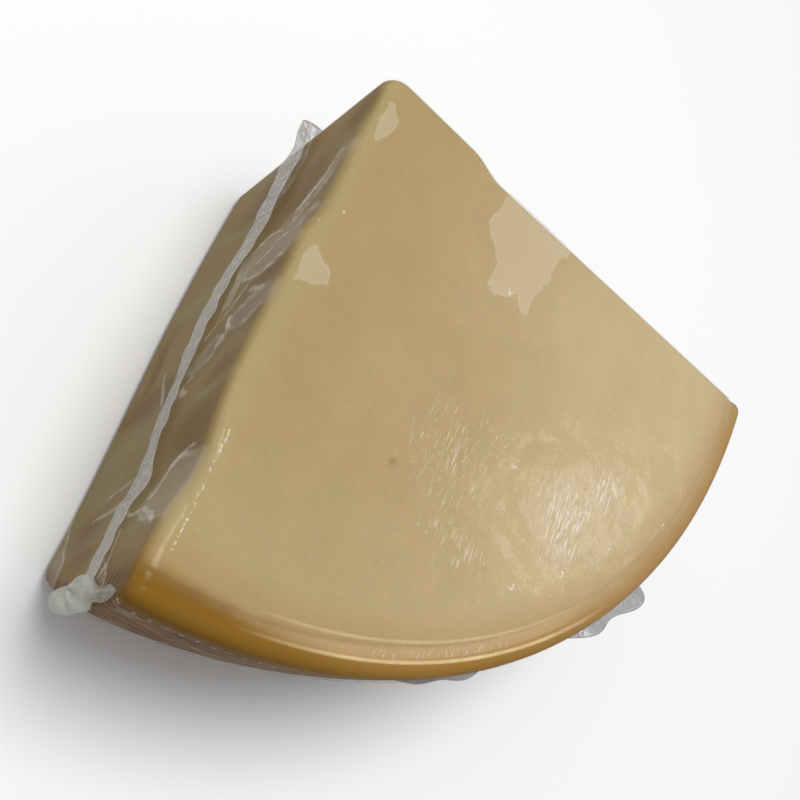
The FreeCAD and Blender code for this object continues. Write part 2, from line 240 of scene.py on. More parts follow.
def to_part(points):
    """From the wheel's own frame to the part's."""
    return points + np.array(AXIS)


def new_piece(name, bm, node):
    mesh = bpy.data.meshes.new(name)
    bm.to_mesh(mesh)
    bm.free()
    for face in mesh.polygons:
        face.use_smooth = True
    piece = bpy.data.objects.new(name, mesh)
    bpy.context.scene.collection.objects.link(piece)
    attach(piece, "root")
    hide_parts(node)
    return piece


cheese = new_piece("cheese", unit_wedge(140, 76, 120), "cheese_wedge")
in_wheel = wedge_shape(vertices(cheese.data))
put_vertices(cheese.data, to_part(in_wheel))


# --------------------------------------
# Where things lie on the faces, in mm: helpers for outlines, lines and soft spots
# --------------------------------------
def line_gap(places, corners):
    """Distance of each (a, b) place from a line through corners."""
    nearest = np.full(len(places), 1e3)
    for start, end in zip(corners[:-1], corners[1:]):
        start, span = np.array(start, dtype=float), np.subtract(end, start).astype(float)
        share = np.clip((places - start) @ span / (span @ span), 0, 1)[:, None]
        nearest = np.minimum(nearest, np.linalg.norm(places - start - share * span, axis=1))
    return nearest


def inside_by(places, corners):
    """How far inside an outline each place lies; negative outside it."""
    closed = corners + corners[:1]
    odd = np.zeros(len(places), dtype=bool)
    a, b = places.T
    for (a0, b0), (a1, b1) in zip(closed[:-1], closed[1:]):
        crosses = (b0 > b) != (b1 > b)
        odd ^= crosses & (a < (a1 - a0) * (b - b0) / ((b1 - b0) or 1e-9) + a0)
    return np.where(odd, 1, -1) * line_gap(places, closed)


def spots(places, middles):
    """Soft spots of given (a, b, width, height), each 1 in its middle; the strongest counts."""
    total = np.zeros(len(places))
    for a, b, wide, tall in middles:
        total = np.maximum(total, bump(places[:, 0], a, wide) * bump(places[:, 1], b, tall))
    return total


def mark(piece, name, *values):
    """Stores up to three numbers per vertex for the piece's material to read."""
    values += (values[0] * 0,) * (3 - len(values))
    note = piece.data.attributes.new(name, "FLOAT_VECTOR", "POINT")
    note.data.foreach_set("vector", np.stack(values, 1).astype(np.float32).ravel())


def normals(mesh):
    directions = np.empty(len(mesh.vertices) * 3)
    mesh.vertex_normals.foreach_get("vector", directions)
    return directions.reshape(-1, 3)


def wander(points, length, seed, waves=7):
    """A smooth, seeded unevenness between about -1 and 1, with humps about `length` apart."""
    draw = np.random.default_rng(seed)
    total = np.zeros(len(points))
    for _ in range(waves):
        way = draw.normal(size=3)
        way /= np.linalg.norm(way)
        pitch = length * draw.uniform(0.7, 1.5)
        total += np.sin(points @ way * math.tau / pitch + draw.uniform(0, math.tau))
    return total / math.sqrt(waves)


def face_masks(points, directions):
    """How much each point belongs to the cut top, the left face, the right face and the heel."""
    x, y, z = points.T
    top = smooth_step((directions[:, 2] - 0.55) / 0.3)
    left = smooth_step((-directions[:, 1] - 0.45) / 0.4)
    right = smooth_step((-directions[:, 0] - 0.45) / 0.4)
    out = (directions[:, 0] * x + directions[:, 1] * y) / np.maximum(np.hypot(x, y), 1e-6)
    heel = smooth_step((out - 0.4) / 0.3) * smooth_step((np.hypot(x, y) / MM - 150) / 20)
    return top, left, right, heel


# soft spots of the paste: (along the face, level, width, height) in mm
# on the left face the brown spots are partly stains and partly painted shade in its hollows
LEFT_BROWN_AND_SHADE = [
    (93, 92, 8, 15), (104, 90, 7, 13), (150, 88, 11, 19), (113, 72, 8, 9), (124, 31, 6, 26),
    (176, 30, 11, 15), (204, 85, 5, 16), (193, 42, 8, 16), (44, 76, 16, 15), (130, 93, 8, 8),
    (16, 97, 8, 9), (104, 17, 18, 6), (28, 46, 12, 20)]
RIGHT_BROWN = [
    (40, 88, 12, 12), (88, 84, 16, 10), (140, 92, 12, 13), (176, 80, 12, 14), (60, 22, 14, 16),
    (125, 26, 16, 13), (204, 62, 8, 42)]
TOP_BROWN = [(128, 62, 1.3, 1.3)]
LEFT_AMBER = [(9, 73, 7, 13), (206, 104, 8, 6)]
LEFT_PALE = [
    (77, 24, 4, 22), (146, 28, 6, 20), (137, 90, 2.5, 9), (40, 30, 4, 22), (160, 30, 3, 16)]
RIGHT_PALE = [(100, 104, 70, 4), (52, 30, 5, 26), (158, 34, 4, 22)]


def stain_and_shade_cheese():
    """Brown, amber and pale places of the paste; the brown also carries painted shade, in hollows
    of the left face and over the whole left face.
    """
    directions = normals(cheese.data)
    x, y, z = (in_wheel / MM).T
    top, left, right, _ = face_masks(in_wheel, directions)
    drift = np.stack((wander(in_wheel, 0.03, 41), wander(in_wheel, 0.03, 42)), 1) * 2.5
    on_left = np.stack((x, z), 1) + drift
    on_right = np.stack((y, z), 1) + drift
    brown_and_shade = np.maximum(left * spots(on_left, LEFT_BROWN_AND_SHADE), right * spots(on_right, RIGHT_BROWN))
    brown_and_shade = np.maximum(brown_and_shade, top * spots(np.stack((x, y), 1), TOP_BROWN))
    # painted shade: the whole left face made a little darker
    brown_and_shade = np.minimum(brown_and_shade + 0.22 * left, 1)
    amber = left * spots(on_left, LEFT_AMBER)
    pale = np.maximum(left * spots(on_left, LEFT_PALE), right * spots(on_right, RIGHT_PALE))
    mark(cheese, "stains_and_shade", brown_and_shade, amber, pale)


stain_and_shade_cheese()

# --------------------------------------
# The film sucked down on the cheese
# --------------------------------------
def heel_radius(z):
    """Radius of the bare heel at a height above the flat."""
    return RADIUS - HEEL_BULGE + np.sqrt(HEEL_BULGE ** 2 - (HEIGHT - z) ** 2)


# folds of the film on the cut faces, each as corners (along the face, level), in mm
LEFT_FOLDS = [
    [(30, 112), (36, 99), (47, 94), (56, 87), (62, 78), (63, 69), (66, 63)],
    [(62, 108), (70, 98), (75, 88), (80, 78)],
    [(84, 106), (86, 93), (89, 84), (88, 74)],
    [(89, 83), (101, 73), (109, 62)],
    [(96, 85), (99, 97), (105, 111), (111, 105), (115, 93)],
    [(103, 79), (111, 83), (117, 79)],
    [(128, 70), (132, 64), (136, 72)],
    [(159, 112), (160, 95), (166, 83), (176, 82)],
    [(181, 84), (187, 95), (192, 103), (201, 112)],
    [(180, 84), (183, 77), (181, 68)],
    [(163, 54), (167, 38)],
    [(173, 55), (177, 34)],
    [(189, 73), (198, 77), (205, 74)],
    [(114, 35), (130, 50)],
]
RIGHT_FOLDS = [
    [(26, 112), (30, 100), (40, 92), (46, 80), (45, 66)],
    [(60, 112), (58, 96), (64, 84), (62, 70)],
    [(84, 62), (92, 78), (104, 84), (112, 96), (110, 110)],
    [(140, 110), (146, 94), (156, 88), (160, 74), (158, 64)],
    [(184, 108), (180, 92), (188, 80), (190, 66)],
    [(70, 52), (76, 36), (74, 24)],
    [(130, 50), (136, 34), (133, 20)],
]
# outlines, along the face and level, where the film bridges hollows of the left face
LEFT_WEBS = [
    [(61, 86), (63, 75), (64, 68), (68, 58), (80, 63), (86, 69.5), (88, 83.5), (86, 101),
     (80, 106), (72, 102), (68, 95), (66, 99), (63, 104), (61, 98), (63, 92)],
    [(34, 109), (42, 102), (52, 95), (61, 88), (62, 84), (52, 89), (43, 95), (35, 101), (31, 109)],
    [(98, 109), (103, 110), (108, 107), (112, 95), (111, 85), (106, 79), (102, 83), (99, 91)],
    [(162, 106), (163, 88), (170, 78), (180, 78.5), (186, 86), (189, 97), (187, 108)],
    [(160, 4), (175, 8), (185, 16), (190, 25), (200, 29), (206, 25), (203, 11), (198, 3),
     (180, 2)],
    [(80, 71), (95, 70), (96, 65), (80, 66)],
    [(8, 61), (20, 66), (36, 63), (38, 59), (20, 59)],
    [(196, 66), (199, 76), (204, 80), (209, 84), (212, 62)],
    [(114, 84), (120, 78), (127, 66), (124, 60), (116, 64), (110, 74)],
]
# outlines where the film stands off the cut top
LOOSE_FILM = [
    [(2, 92), (12, 95), (24, 94), (35, 90), (44, 91), (44, 87), (38, 84), (43, 79), (46, 73),
     (44, 70), (38, 71), (33, 71), (28, 66), (22, 61), (13, 63), (5, 64), (-4, 66), (-4, 92)],
    [(2, 99), (7, 98), (12, 95), (4, 92), (-4, 92), (-4, 98)],
    [(9, 11), (13, 10), (17, 12.5), (22, 12.5), (30, 8), (22, 6.5), (12, 7)],
    [(79, 4), (83, 9), (85, 13), (88, 15), (91, 13), (94, 9), (96, 3)],
]
# soft spots (a, b, width, height) in mm
RIGHT_WEBS = [
    (50, 84, 9, 18), (96, 92, 14, 12), (150, 84, 9, 15), (186, 92, 7, 16), (80, 30, 8, 14)]
# painted highlights on the film: glint spots, strokes of sheen over scratches, and the shining
# lines along the sunk ring's edges and the top's left edge
GLINTS = [
    (77, 187, 4, 2), (65, 191, 3, 2), (79, 157, 3, 4), (96, 147, 4, 4), (114, 145, 3, 3),
    (100, 108, 2.2, 2.6), (96, 102, 3, 1.6), (108, 77, 2.5, 2), (141, 125, 1.6, 3), (134, 96, 3, 2),
    (124, 145, 2, 2), (103, 163, 4, 3), (62, 9, 3, 1.5), (71, 3, 1.6, 2.2), (40, 80, 3.5, 2.2)]
FAINT_GLINTS = [(118, 112, 52, 60), (160, 70, 30, 36), (92, 172, 40, 24)]
SCRATCH_SHEEN = [(104, 139, 26, 20), (82, 152, 14, 14)]
HALF_SCRATCH_SHEEN = [(100, 170, 18, 14), (140, 100, 12, 30), (112, 84, 26, 26)]
RING_MIDDLE_ANGLE = 31  # degrees from the left face to the middle of the ring's shining stretch
RING_LINES = (204.2, 209.9)
EDGE_LINE = 6  # how far the shining line along the top's left edge lies from that face


def heel_lift(arc, z, heel):
    """How far the lengthwise wrinkles of the heel stand up, in mm."""
    along = np.stack((arc * 0.12, z, arc * 0), 1)
    ridges = 1 - np.abs(wander(along, 9.0, 3))
    fine = 1 - np.abs(wander(along * (1.3, 1, 1), 4.5, 5))
    on_heel = heel * smooth_step((z - 3) / 6) * smooth_step((99 - z) / 5)
    return on_heel * (0.5 * np.clip(ridges, 0, 1) ** 2 + 0.25 * np.clip(fine, 0, 1) ** 2)


def place_film():
    """The cheese's own surface, lifted by the film and its folds, with marks for its material."""
    shape = bmesh.new()
    shape.from_mesh(cheese.data)
    film = new_piece("film", shape, "vacuum_bag")
    directions = normals(cheese.data)
    x, y, z = (in_wheel / MM).T
    top, left, right, heel = face_masks(in_wheel, directions)
    arc = np.arctan2(y, x) * RADIUS / MM
    degrees = np.degrees(np.arctan2(y, x))
    radius = np.hypot(x, y)
    drift = np.stack((wander(in_wheel, 0.022, 43), wander(in_wheel, 0.022, 44)), 1) * 1.3
    on_top = np.stack((x, y), 1)
    on_left = np.stack((x, z), 1) + drift
    on_right = np.stack((y, z), 1) + drift

    gap_left = np.min([line_gap(on_left, corners) for corners in LEFT_FOLDS], axis=0)
    gap_right = np.min([line_gap(on_right, corners) for corners in RIGHT_FOLDS], axis=0)
    sides = np.stack((left, right), 0)
    gaps = np.stack((gap_left, gap_right), 0)
    below_edge = smooth_step((104 - z) / 7)
    ridge = np.max(sides * np.exp(-(gaps / 1.5) ** 2), axis=0) * below_edge
    crease = np.max(np.where(sides > 0.6, 1.1 - gaps, -20), axis=0) - 2.5 * (1 - below_edge)

    loose = np.max([inside_by(on_top, corners) for corners in LOOSE_FILM], axis=0)
    loose = np.where(top > 0.3, loose, -20)

    web = np.zeros(len(x))
    web_edge = np.zeros(len(x))
    for corners in LEFT_WEBS:
        by = inside_by(on_left, corners)
        web = np.maximum(web, left * smooth_step(by / 2.4 + 0.5))
        web_edge = np.maximum(web_edge, left * np.exp(-((by - 0.3) / 0.95) ** 2))
    web_edge *= below_edge
    web = np.maximum(web, right * spots(on_right, RIGHT_WEBS))

    # painted highlights where the film shines: glint spots, strokes of sheen over scratches, both
    # edges of the sunk ring, the left edge
    glint = top * np.maximum(spots(on_top, GLINTS), 0.60 * spots(on_top, FAINT_GLINTS))
    from_middle = degrees - RING_MIDDLE_ANGLE
    line = np.maximum(bump(radius, RING_LINES[0], 0.8), bump(radius, RING_LINES[1], 0.9))
    glint = np.maximum(glint, 0.76 * np.exp(-(from_middle / 17) ** 4) * line * top)
    sheen_between_lines = bump(radius, 207.2, 2.4) * np.exp(-(from_middle / 11) ** 4)
    edge = bump(y, EDGE_LINE, 1.1) * smooth_step((x - 146) / 8) * smooth_step((204 - x) / 6)
    edge = np.maximum(edge, bump(y, EDGE_LINE, 1.0) * bump(x, 140, 3))
    glint = np.maximum(glint, 0.92 * edge * top)
    scratch_sheen = np.maximum(spots(on_top, SCRATCH_SHEEN), 0.55 * spots(on_top, HALF_SCRATCH_SHEEN))
    scratch_sheen = top * np.maximum(scratch_sheen, 0.55 * sheen_between_lines)
    top_gloss = 1 - 0.88 * smooth_step((radius - 203) / 6)
    top_gloss *= 0.2 + 0.8 * smooth_step((y - 9) / 5)
    gloss = 0.05 * (1 - 0.7 * heel) + 0.005 * (right + left) + 0.95 * top * top_gloss
    mark(film, "lay", arc, z, web_edge)
    mark(film, "marks", crease, loose, glint)
    mark(film, "state", web, gloss, heel)
    mark(film, "sheen_and_sides", scratch_sheen, left + right)

    # the heel's wrinkles, the folds of the cut faces and the loose film stand off the cheese
    lift = heel_lift(arc, z, heel) + 0.7 * ridge + 0.25 * smooth_step(loose / 3) * (loose > 0)
    lift = FILM_OFF + MM * lift
    put_vertices(film.data, to_part(in_wheel + directions * lift[:, None]))


place_film()


# --------------------------------------
# The welded seam: a flat band of doubled film that lies on the cut faces and stands out at the apex
# --------------------------------------
BAND_SIDES = 16  # corners of the band's section


def smooth_path(corners, count):
    """A smooth line through a few corners, as `count` points evenly spaced along it."""
    reach = np.concatenate(([0], np.cumsum(np.linalg.norm(np.diff(corners, axis=0), axis=1))))
    slope = np.gradient(corners, reach, axis=0)
    at = np.linspace(0, reach[-1], count)
    number = np.clip(np.searchsorted(reach, at, side="right") - 1, 0, len(reach) - 2)
    span = (reach[number + 1] - reach[number])[:, None]
    share = (at - reach[number])[:, None] / span
    a, b = corners[number], corners[number + 1]
    c, d = slope[number] * span, slope[number + 1] * span
    return ((2 * share ** 3 - 3 * share ** 2 + 1) * a + (share ** 3 - 2 * share ** 2 + share) * c
            + (3 * share ** 2 - 2 * share ** 3) * b + (share ** 3 - share ** 2) * d)


def sweep_band(name, path, across, outwards, widths, thickness, node):
    """A flat band drawn along a path: at each point its width lies along `across`."""
    bm = bmesh.new()
    ring = bmesh.ops.create_circle(bm, segments=BAND_SIDES, radius=1.0)["verts"]
    edges = list({edge for vert in ring for edge in vert.link_edges})
    start = edges[:]
    before = Matrix()
    for number, place in enumerate(path):
        wide, out = Vector(across[number]).normalized(), Vector(outwards[number]).normalized()
        ahead = wide.cross(out)
        frame_here = Matrix((wide * widths[number], out * thickness, ahead)).transposed().to_4x4()
        frame_here.translation = Vector(place)
        if number:
            made = bmesh.ops.extrude_edge_only(bm, edges=edges)["geom"]
            ring = [item for item in made if isinstance(item, bmesh.types.BMVert)]
            edges = [item for item in made if isinstance(item, bmesh.types.BMEdge)
                     and all(vert in ring for vert in item.verts)]
        bmesh.ops.transform(bm, matrix=frame_here @ before.inverted(), verts=ring)
        before = frame_here
    bmesh.ops.holes_fill(bm, edges=start, sides=0)
    bmesh.ops.holes_fill(bm, edges=edges, sides=0)
    bmesh.ops.recalc_face_normals(bm, faces=bm.faces)
    return new_piece(name, bm, node)


# along each face: (distance from the axis, level, half width) in mm
LEFT_SEAM = [
    (208, 70, 4.6), (196, 69, 4.6), (185, 66.5, 4.6), (176, 63.5, 7.4), (168, 66.5, 7.6),
    (161, 64.5, 5.6), (151, 62.5, 5.0), (138, 60.5, 6.0), (127, 58.5, 4.6), (119, 58, 4.6),
    (108, 55.5, 5.4), (95, 54, 5.8), (81, 54, 6.0), (66, 54, 7.0), (52, 56.5, 7.6), (37, 55, 8.6),
    (21, 54, 10.0)]
RIGHT_SEAM = [
    (18, 54, 6.5), (34, 56, 6.0), (60, 58, 5.0), (90, 55, 4.6), (120, 56, 5.2), (150, 59, 4.8),
    (180, 56, 4.4), (206, 55, 4.0)]
# round the apex: (x, y, z, half width) in mm
APEX_SEAM = [(6, -1.8, 54, 7.5), (-2.2, -2.2, 51, 3.6), (-1.0, 6, 52, 5.5)]
SEAM_OFF = 1.7 * MM
SEAM_THICKNESS = 0.42 * MM


def face_point(along, z, side, off):
    """A point on a cut face, `off` outside it."""
    inset = left_inset if side == "left" else right_inset
    depth = float(inset(np.float64(along), z / HEIGHT)) - off
    return (along, depth, z) if side == "left" else (depth, along, z)


def seam_corners(places, side):
    return [(*face_point(along * MM, z * MM, side, SEAM_OFF), half * MM)
            for along, z, half in places]


def lay_seam():
    line = smooth_path(np.vstack((
        seam_corners(LEFT_SEAM, "left"), np.array(APEX_SEAM) * MM,
        seam_corners(RIGHT_SEAM, "right"))), 330)
    path, widths = line[:, :3].copy(), line[:, 3]
    x, y, z = path.T
    apex = bump(np.hypot(x, y), 0, 9 * MM)
    to_right = smooth_step((y - x) / (8 * MM) + 0.5)
    outward = np.stack((-to_right, to_right - 1, 0 * x), 1)
    outward /= np.linalg.norm(outward, axis=1)[:, None]
    upward = np.array((0, 0, 1.0))
    lean = 0.025 * wander(path, 0.05, 11) + 0.35 * apex
    across = upward * np.cos(lean)[:, None] + outward * np.sin(lean)[:, None]
    out = -upward * np.sin(lean)[:, None] + outward * np.cos(lean)[:, None]
    path += outward * (0.2 * MM * wander(path, 0.009, 14))[:, None]
    widths = widths * (1 + 0.10 * wander(path, 0.012, 12))
    piece = sweep_band(
        "seam", to_part(path), across, out, widths, SEAM_THICKNESS, "vacuum_bag")
    run = np.concatenate(([0.0], np.cumsum(np.linalg.norm(np.diff(path, axis=0), axis=1)))) / MM
    ring = np.arange(len(piece.data.vertices)) // BAND_SIDES
    places = vertices(piece.data) - to_part(path)[ring]
    share = np.einsum("ij,ij->i", places, across[ring]) / widths[ring]
    bubbly = smooth_step((62 * MM - x) / (12 * MM)) * smooth_step((58 * MM - y) / (14 * MM))
    ruffled = bump(x, 168 * MM, 12 * MM)
    mark(piece, "weld", run[ring], share, np.maximum(bubbly, ruffled)[ring])


lay_seam()


# --------------------------------------
# The bag's corner, gathered at the heel end of the left face
# --------------------------------------
EAR_HEART = np.array((211.5, -2.0, 72.0))
EAR_LOBES = (  # middle and half sizes of each lobe, in mm
    ((212.0, -2.6, 71.0), (5.6, 4.6, 8.6)), ((214.0, -4.0, 65.0), (4.8, 4.2, 6.0)),
    ((210.4, -2.6, 76.5), (5.0, 3.8, 7.2)), ((211.6, -0.2, 85.0), (2.4, 1.5, 13.5)))


def gather_ear():
    """One rounded, puckered lump of film: the outline of a few lobes joined into a single skin."""
    bm = bmesh.new()
    bmesh.ops.create_icosphere(bm, subdivisions=6, radius=1.0)
    piece = new_piece("ear", bm, "vacuum_bag")
    away = vertices(piece.data)
    reach = np.zeros(len(away))
    for middle, size in EAR_LOBES:
        ray, start = away / size, (EAR_HEART - middle) / size
        a, b, c = (ray ** 2).sum(1), (ray * start).sum(1), (start ** 2).sum() - 1
        exit_at = (-b + np.sqrt(np.maximum(b ** 2 - a * c, 0))) / a
        exit_at = np.where(b ** 2 > a * c, np.maximum(exit_at, 0.5), 0.5)
        reach += exit_at ** 6
    points = (EAR_HEART + away * (0.92 * reach ** (1 / 6))[:, None]) * MM
    put_vertices(piece.data, points)
    around = np.arctan2(away[:, 2], away[:, 0])
    pleats = np.sin(around * 5 + 1.2 * wander(points, 0.030, 21))
    ripple = wander(points, 0.013, 22)
    points = points + normals(piece.data) * (0.5 * pleats + 0.6 * ripple)[:, None] * MM
    put_vertices(piece.data, to_part(points))


gather_ear()


# --------------------------------------
# The bag's end on the heel: tight, then crumpled, then a loose flap
# --------------------------------------
def far_corner(angle):
    """Where the bag's other corner lies folded down at the far end of the heel."""
    return smooth_step((angle - 70) / 6) * smooth_step((88 - angle) / 5)


def end_reach(angle):
    """How far the bag's end stands out from the heel, at an angle in degrees from the left face."""
    crumple = smooth_step((angle - 29) / 9) * smooth_step((86 - angle) / 10)
    flap = smooth_step((angle - 49) / 13) * smooth_step((72 - angle) / 6)
    uneven = 0.8 + 0.2 * np.sin(angle * 0.8)
    return (0.5 + 7.6 * crumple * uneven + 10.8 * flap + 16.5 * far_corner(angle)) * MM


END_FIRST, END_SPAN = 27.0, 60.0  # where the end starts, from the left face, and its run; degrees
END_THICKNESS = 0.35 * MM


def lay_end():
    bm = bmesh.new()
    bmesh.ops.create_grid(bm, x_segments=240, y_segments=18, size=0.5)
    bmesh.ops.translate(bm, vec=(0.5, 0.5, 0), verts=bm.verts)
    piece = new_piece("bag_end", bm, "vacuum_bag")
    along, out, _ = vertices(piece.data).T
    angle = END_FIRST + along * END_SPAN
    rise = smooth_step((angle - 14) / 22) * smooth_step((92 - angle) / 16)
    uneven = wander(np.stack((angle, 0 * angle, 0 * angle), 1), 20, 31)
    level = (59 + 13 * rise * (1 - far_corner(angle)) + 1.2 * uneven) * MM
    reach = end_reach(angle)
    loose = np.clip(reach / (20 * MM), 0, 1)
    spots_on = np.stack((angle * 3.4, out * reach / MM, 0 * angle), 1)
    wave = wander(spots_on * (1, 0.5, 1), 28, 32) + 0.25 * wander(spots_on, 16, 33)
    base = heel_radius(level) - 0.4 * MM
    edge = 1 + 0.07 * wander(spots_on * (1, 0, 0), 26, 34)
    radius = base + out * reach * edge
    lifted = 9.0 * loose ** 2 * (1 - far_corner(angle)) + (1.2 + 1.6 * loose) * wave
    z = level + out * lifted * MM
    turn = np.radians(angle)
    points = np.stack((radius * np.cos(turn), radius * np.sin(turn), z), 1)
    put_vertices(piece.data, to_part(points))
    bm = bmesh.new()
    bm.from_mesh(piece.data)
    bmesh.ops.recalc_face_normals(bm, faces=bm.faces)
    bmesh.ops.solidify(bm, geom=bm.faces[:], thickness=END_THICKNESS)
    bm.to_mesh(piece.data)
    bm.free()
    for face in piece.data.polygons:
        face.use_smooth = True


lay_end()


# --------------------------------------
# Materials: small helpers first
# --------------------------------------
def tint(red, green, blue):
    """A colour given as it looks, 0 to 255, as the linear one that shaders take."""
    def linear(value):
        value /= 255
        return value / 12.92 if value <= 0.04045 else ((value + 0.055) / 1.055) ** 2.4
    return (linear(red), linear(green), linear(blue), 1.0)


def add(tree, kind, inputs=None, **settings):
    """A new shader node; each input is a value or the socket to take it from."""
    node = tree.nodes.new("ShaderNode" + kind)
    for name, value in settings.items():
        setattr(node, name, value)
    for key, value in (inputs or {}).items():
        if isinstance(value, bpy.types.NodeSocket):
            tree.links.new(value, node.inputs[key])
        else:
            node.inputs[key].default_value = value
    return node


def calc(tree, operation, *values, clamp=False):
    inputs = dict(enumerate(values))
    return add(tree, "Math", inputs, operation=operation, use_clamp=clamp).outputs[0]


def times(tree, first, *others):
    """The product of several values."""
    for value in others:
        first = calc(tree, "MULTIPLY", first, value)
    return first


def off(tree, value, middle):
    """How far a value is from another, either way."""
    return calc(tree, "ABSOLUTE", calc(tree, "SUBTRACT", value, middle))


def between(tree, value, low, high):
    """0 below `low`, 1 above `high`, smooth in between; the two may be swapped."""
    inputs = {"Value": value, "From Min": low, "From Max": high}
    return add(tree, "MapRange", inputs, interpolation_type="SMOOTHSTEP").outputs[0]


def blend(tree, share, first, second, how="MIX"):
    inputs = {0: share, 6: first, 7: second}
    node = add(tree, "Mix", inputs, data_type="RGBA", blend_type=how)
    return node.outputs[2]


def speckle(tree, at, size, detail=2.0, rough=0.5, warp=0.0):
    """Noise with grains about `size` mm apart, 0 to 1."""
    inputs = {"Vector": at, "Scale": 1.0 / size, "Detail": detail, "Roughness": rough,
              "Distortion": warp}
    return add(tree, "TexNoise", inputs).outputs["Fac"]


def wheel_place(tree):
    """Object coordinates in millimetres in the wheel's own frame."""
    place = add(tree, "TexCoord").outputs["Object"]
    mapping = {"Vector": place, "Location": tuple(-1000 * AXIS), "Scale": (1000, 1000, 1000)}
    return add(tree, "Mapping", mapping).outputs[0]


def stretched(tree, at, scale, shift=(0, 0, 0)):
    inputs = {"Vector": at, "Scale": scale, "Location": shift}
    return add(tree, "Mapping", inputs).outputs[0]


def bumped(tree, height, distance, strength=1.0):
    inputs = {"Height": height, "Strength": strength, "Distance": distance}
    return add(tree, "Bump", inputs).outputs[0]


def new_material(name):
    material = bpy.data.materials.new(name)
    material.use_nodes = True
    tree = material.node_tree
    tree.nodes.clear()
    output = tree.nodes.new("ShaderNodeOutputMaterial")
    return material, tree, output


def new_group(name, inputs, outputs):
    group = bpy.data.node_groups.new(name, "ShaderNodeTree")
    for label, kind, default in inputs:
        socket = group.interface.new_socket(label, in_out="INPUT", socket_type=kind)
        socket.default_value = default
    for label, kind in outputs:
        group.interface.new_socket(label, in_out="OUTPUT", socket_type=kind)
    given = group.nodes.new("NodeGroupInput").outputs
    return group, given, group.nodes.new("NodeGroupOutput").inputs


def crinkle_group():
    """Fine unevenness of sucked-down film: a height for bumps, and sparse bright grains for painted
    glints.
    """
    group, given, result = new_group(
        "crinkle", [("Point", "NodeSocketVector", (0, 0, 0)), ("Size", "NodeSocketFloat", 5.0)],
        [("Height", "NodeSocketFloat"), ("Grain", "NodeSocketFloat")])
    scale = calc(group, "DIVIDE", 1.0, given["Size"])
    broad = {"Vector": given["Point"], "Scale": scale, "Detail": 3.0, "Roughness": 0.6}
    fine = {"Vector": given["Point"], "Scale": calc(group, "MULTIPLY", scale, 4.6), "Detail": 1.0}
    for inputs, label in ((broad, "Height"), (fine, "Grain")):
        noise = add(group, "TexNoise", inputs).outputs["Fac"]
        group.links.new(noise, result[label])
    return group


CRINKLE = crinkle_group()


def crinkle(tree, at, size):
    node = add(tree, "Group", node_tree=CRINKLE)
    tree.links.new(at, node.inputs["Point"])
    node.inputs["Size"].default_value = size
    return node.outputs["Height"], node.outputs["Grain"]


def noted(tree, name):
    """The three numbers that `mark` stored."""
    found = add(tree, "Attribute", attribute_name=name).outputs["Vector"]
    return add(tree, "SeparateXYZ", {0: found}).outputs


def share_of(tree, *pairs):
    """The sum of each value times its weight, kept within 0 and 1."""
    total = 0.0
    for value, weight in pairs:
        total = calc(tree, "MULTIPLY_ADD", value, weight, total)
    return calc(tree, "ADD", total, 0.0, clamp=True)


# --------------------------------------
# The cheese: cream paste, golden to tan rind
# --------------------------------------
PASTE_OCHRE = tint(176, 151, 103)
PASTE_CREAM = tint(203, 180, 137)
PASTE_PALE = tint(184, 165, 119)
EDGE_PALE = tint(176, 162, 116)
BROWN_AND_SHADE = tint(146, 116, 66)
AMBER = tint(176, 128, 50)
RIND_TAN = tint(171, 135, 84)
RIND_HONEY = tint(158, 118, 50)
RIND_GOLD = tint(134, 96, 22)
RIND_BROWN = tint(100, 68, 30)
RIND_FAWN = tint(150, 112, 58)
RIND_FLAT = tint(172, 136, 82)
# colours of the painted highlights on the sunk ring and the sheen between its edges
RING_HIGHLIGHT = tint(240, 214, 164)
RING_SHEEN_PINK = tint(216, 180, 140)


